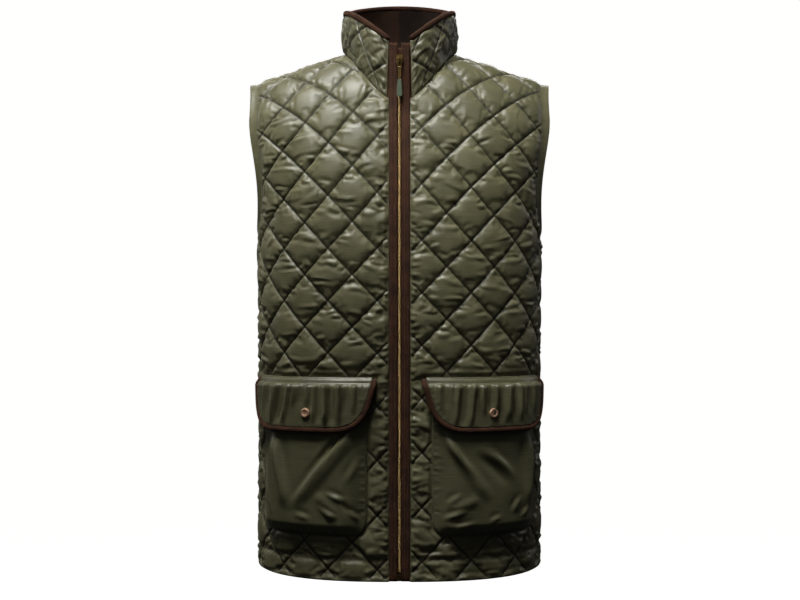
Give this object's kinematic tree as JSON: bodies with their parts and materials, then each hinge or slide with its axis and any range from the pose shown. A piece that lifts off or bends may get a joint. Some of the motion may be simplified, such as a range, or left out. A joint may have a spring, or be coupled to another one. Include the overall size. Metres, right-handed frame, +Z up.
{
  "type": "quilted gilet",
  "caption": "Sleeveless diamond-quilted jacket with a stand collar, a full-length front zip with brown edging, and flapped patch pockets, in its worn shape.",
  "frame": {"origin": "in the middle of the neck hole, 6 mm under the neck ends of the shoulder seams, where the wearer's shoulders carry the garment", "axes": "+Z up, front faces -Y, +X towards the wearer's left"},
  "size_m": [0.4026, 0.2585, 0.7686],
  "materials": {
    "olive_nylon": "satin woven nylon, quilted over a light filling",
    "brown_suede": "brushed nap",
    "antique_brass": "aged satin",
    "copper_cap": "satin copper plate",
    "green_rubber": "matte moulded"
  },
  "bodies": {
    "gilet": {"front_left": "olive_nylon", "front_right": "olive_nylon", "back": "olive_nylon", "collar": "olive_nylon", "collar_facing_left": "brown_suede", "collar_facing_right": "brown_suede", "collar_binding": "brown_suede", "zip_strip_left": "brown_suede", "zip_strip_right": "brown_suede", "zip_chain": "antique_brass", "zip_slider": "antique_brass", "zip_box": "antique_brass", "pocket_left": "olive_nylon", "pocket_right": "olive_nylon", "flap_left": "olive_nylon", "flap_right": "olive_nylon", "flap_binding_left": "brown_suede", "flap_binding_right": "brown_suede", "snap_left": "copper_cap", "snap_right": "copper_cap"},
    "zip_pull": {"zip_pull_link": "antique_brass", "zip_pull_grip": "green_rubber"}
  },
  "joints": [
    {"name": "zip_pull_swing", "type": "hinge", "parent": "gilet", "child": "zip_pull", "pos_m": [0, -0.10528, -0.0133], "axis": [-1, 0, 0], "range_deg": [0, 160]}
  ]
}
